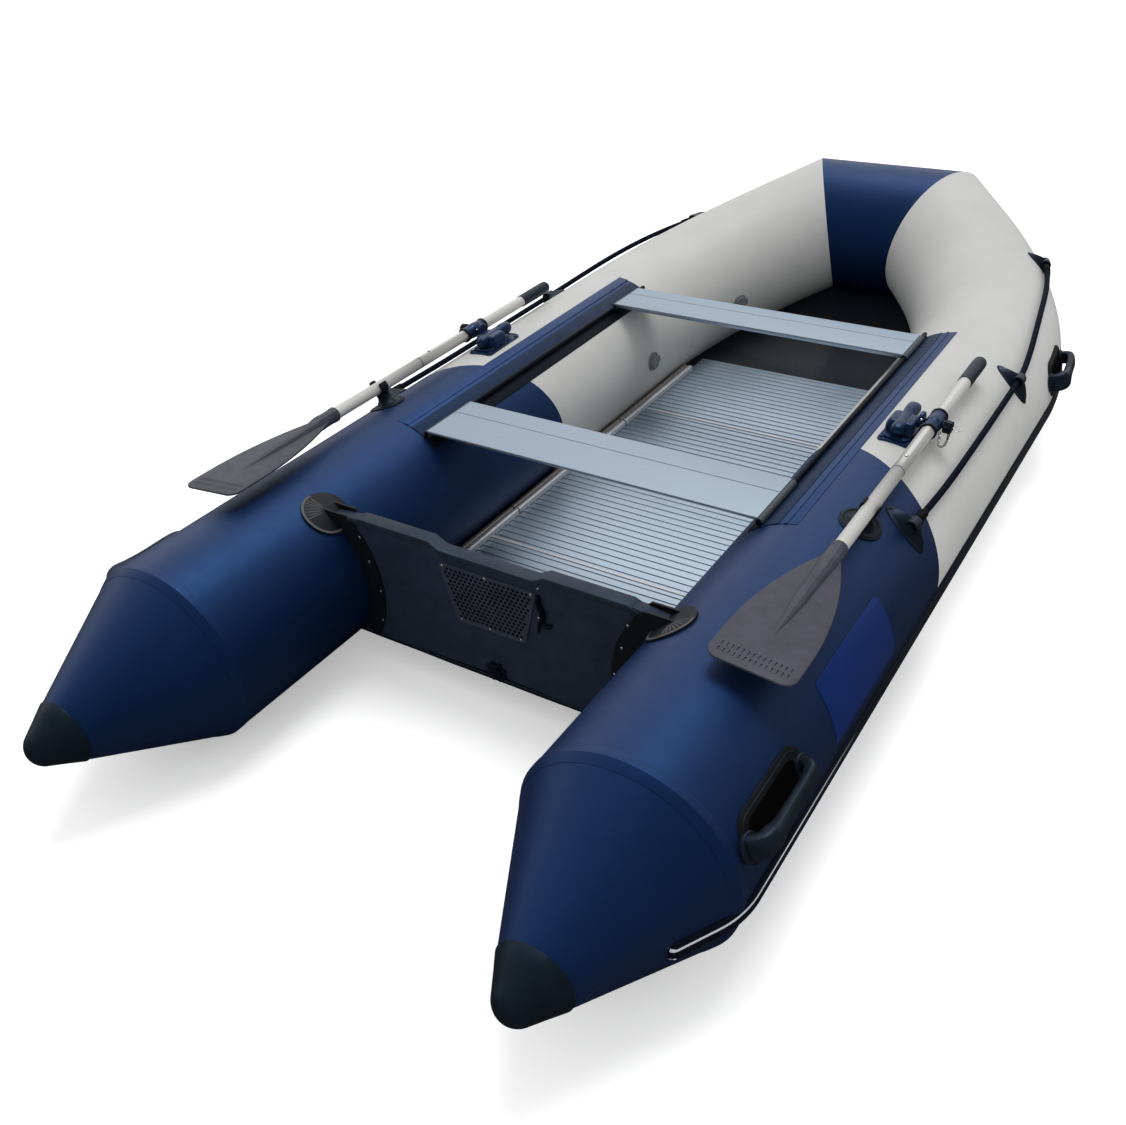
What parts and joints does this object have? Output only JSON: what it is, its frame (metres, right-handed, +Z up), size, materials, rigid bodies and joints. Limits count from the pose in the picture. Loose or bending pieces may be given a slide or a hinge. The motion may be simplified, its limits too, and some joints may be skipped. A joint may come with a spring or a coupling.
{
  "type": "inflatable dinghy",
  "caption": "Inflatable dinghy with a slatted aluminium floor, motor transom, sliding benches, rowlocks with stowed oars, lifelines and carrying handles.",
  "frame": {"origin": "ground level under the middle of the hull's length", "axes": "+Y to the bow, +X to starboard, +Z up"},
  "size_m": [1.612, 3.292, 0.5771],
  "materials": {
    "navy_fabric": "satin coated fabric",
    "grey_fabric": "satin coated fabric",
    "black_rubber": "moulded",
    "black_plastic": "moulded",
    "charcoal_plastic": "moulded",
    "transom_board": "painted plywood",
    "silver_aluminium": "anodised",
    "bench_aluminium": "anodised satin",
    "floor_aluminium": "mill finish",
    "bright_steel": "polished",
    "black_rope": "braided",
    "valve_plastic": "moulded"
  },
  "bodies": {
    "hull": {"bottom_skin": "navy_fabric", "bow_skin": "navy_fabric", "carry_handles_aft": "black_rubber", "carry_handles_bow": "black_rubber", "cone_cap_port": "black_rubber", "cone_cap_starboard": "black_rubber", "drain_valve": "black_plastic", "floor_joiners": "black_plastic", "floor_panel_1": "floor_aluminium", "floor_panel_2": "floor_aluminium", "floor_panel_3": "floor_aluminium", "floor_panel_4": "floor_aluminium", "keel_tube": "navy_fabric", "lifeline_eyes": "black_rubber", "lifeline_port": "black_rope", "lifeline_starboard": "black_rope", "motor_pads": "black_plastic", "oar_clip_port": "black_rubber", "oar_clip_starboard": "black_rubber", "rowlock_base_port": "black_plastic", "rowlock_base_starboard": "black_plastic", "rub_strake": "black_rubber", "seat_rail_port": "navy_fabric", "seat_rail_starboard": "navy_fabric", "side_stringer_port": "floor_aluminium", "side_stringer_starboard": "floor_aluminium", "stern_cone_port": "navy_fabric", "stern_cone_starboard": "navy_fabric", "tow_ring_patch": "black_rubber", "transom_board": "transom_board", "transom_holder_port": "black_rubber", "transom_holder_starboard": "black_rubber", "transom_trim": "black_plastic", "tube_aft_port": "navy_fabric", "tube_aft_starboard": "navy_fabric", "tube_bow_centre": "navy_fabric", "tube_bow_port": "grey_fabric", "tube_bow_starboard": "grey_fabric", "valve_seats": "valve_plastic"},
    "aft_bench": {"bench_aft": "bench_aluminium"},
    "front_bench": {"bench_front": "bench_aluminium"},
    "drain_flap": {"drain_flap": "black_plastic"},
    "oar_port": {"oar_blade_port": "charcoal_plastic", "oar_collar_port": "black_plastic", "oar_grip_port": "black_plastic", "oar_shaft_port": "silver_aluminium"},
    "oar_starboard": {"oar_blade_starboard": "charcoal_plastic", "oar_collar_starboard": "black_plastic", "oar_grip_starboard": "black_plastic", "oar_shaft_starboard": "silver_aluminium"},
    "button_port": {"oar_button_port": "bright_steel"},
    "button_starboard": {"oar_button_starboard": "bright_steel"},
    "knob_port": {"rowlock_knob_port": "black_plastic"},
    "knob_starboard": {"rowlock_knob_starboard": "black_plastic"},
    "rowlock_port": {"rowlock_swivel_port": "black_plastic"},
    "rowlock_starboard": {"rowlock_swivel_starboard": "black_plastic"},
    "tow_ring": {"tow_ring": "bright_steel"},
    "bow_valve_cap": {"valve_cap_bow": "valve_plastic"},
    "valve_cap_port": {"valve_cap_port": "valve_plastic"},
    "valve_cap_starboard": {"valve_cap_starboard": "valve_plastic"}
  },
  "joints": [
    {"name": "aft_bench_slide", "type": "slide", "parent": "hull", "child": "aft_bench", "axis": [0, 1, 0], "range_m": [0, 0.3]},
    {"name": "front_bench_slide", "type": "slide", "parent": "hull", "child": "front_bench", "axis": [0, -1, 0], "range_m": [0, 0.3]},
    {"name": "rowlock_turn_starboard", "type": "hinge", "parent": "hull", "child": "rowlock_starboard", "pos_m": [0.57295, -0.05, 0.41885], "axis": [0.1045, 0, 0.9945], "range_deg": [0, 125], "deforming": ["oar_clip_starboard"]},
    {"name": "oar_lift_starboard", "type": "hinge", "parent": "rowlock_starboard", "child": "oar_starboard", "pos_m": [0.64056, -0.05, 0.44985], "axis": [-0.9945, 0, 0.1045], "range_deg": [0, 3]},
    {"name": "knob_turn_starboard", "type": "hinge", "parent": "rowlock_starboard", "child": "knob_starboard", "pos_m": [0.672, -0.05, 0.44655], "axis": [0.9945, 0, -0.1045], "continuous": true},
    {"name": "button_press_starboard", "type": "slide", "parent": "oar_starboard", "child": "button_starboard", "axis": [-0.1045, 0, -0.9945], "range_m": [0, 0.0035], "stiffness_N_per_m": 400, "springref_m": -0.002},
    {"name": "valve_cap_turn_starboard", "type": "hinge", "parent": "hull", "child": "valve_cap_starboard", "pos_m": [0.33291, 0.4515, 0.21952], "axis": [-0.0436, 0, -0.999], "range_deg": [0, 90]},
    {"name": "rowlock_turn_port", "type": "hinge", "parent": "hull", "child": "rowlock_port", "pos_m": [-0.57295, -0.05, 0.41885], "axis": [0.1045, 0, -0.9945], "range_deg": [0, 125], "deforming": ["oar_clip_port"]},
    {"name": "oar_lift_port", "type": "hinge", "parent": "rowlock_port", "child": "oar_port", "pos_m": [-0.64056, -0.05, 0.44985], "axis": [-0.9945, 0, -0.1045], "range_deg": [0, 3]},
    {"name": "knob_turn_port", "type": "hinge", "parent": "rowlock_port", "child": "knob_port", "pos_m": [-0.672, -0.05, 0.44655], "axis": [-0.9945, 0, -0.1045], "continuous": true},
    {"name": "button_press_port", "type": "slide", "parent": "oar_port", "child": "button_port", "axis": [0.1045, 0, -0.9945], "range_m": [0, 0.0035], "stiffness_N_per_m": 400, "springref_m": -0.002},
    {"name": "valve_cap_turn_port", "type": "hinge", "parent": "hull", "child": "valve_cap_port", "pos_m": [-0.33291, 0.4515, 0.21952], "axis": [-0.0436, 0, 0.999], "range_deg": [0, 90]},
    {"name": "bow_valve_cap_turn", "type": "hinge", "parent": "hull", "child": "bow_valve_cap", "pos_m": [-0.27306, 0.94905, 0.23734], "axis": [-0.0333, -0.147, 0.9886], "range_deg": [0, 90]},
    {"name": "drain_flap_turn", "type": "hinge", "parent": "hull", "child": "drain_flap", "pos_m": [0, -0.9063, 0.1155], "axis": [-1, 0, 0], "range_deg": [0, 90]},
    {"name": "tow_ring_swing", "type": "hinge", "parent": "hull", "child": "tow_ring", "pos_m": [0, 1.5807, 0.21154], "axis": [1, 0, 0], "range_deg": [-35, 90]}
  ]
}
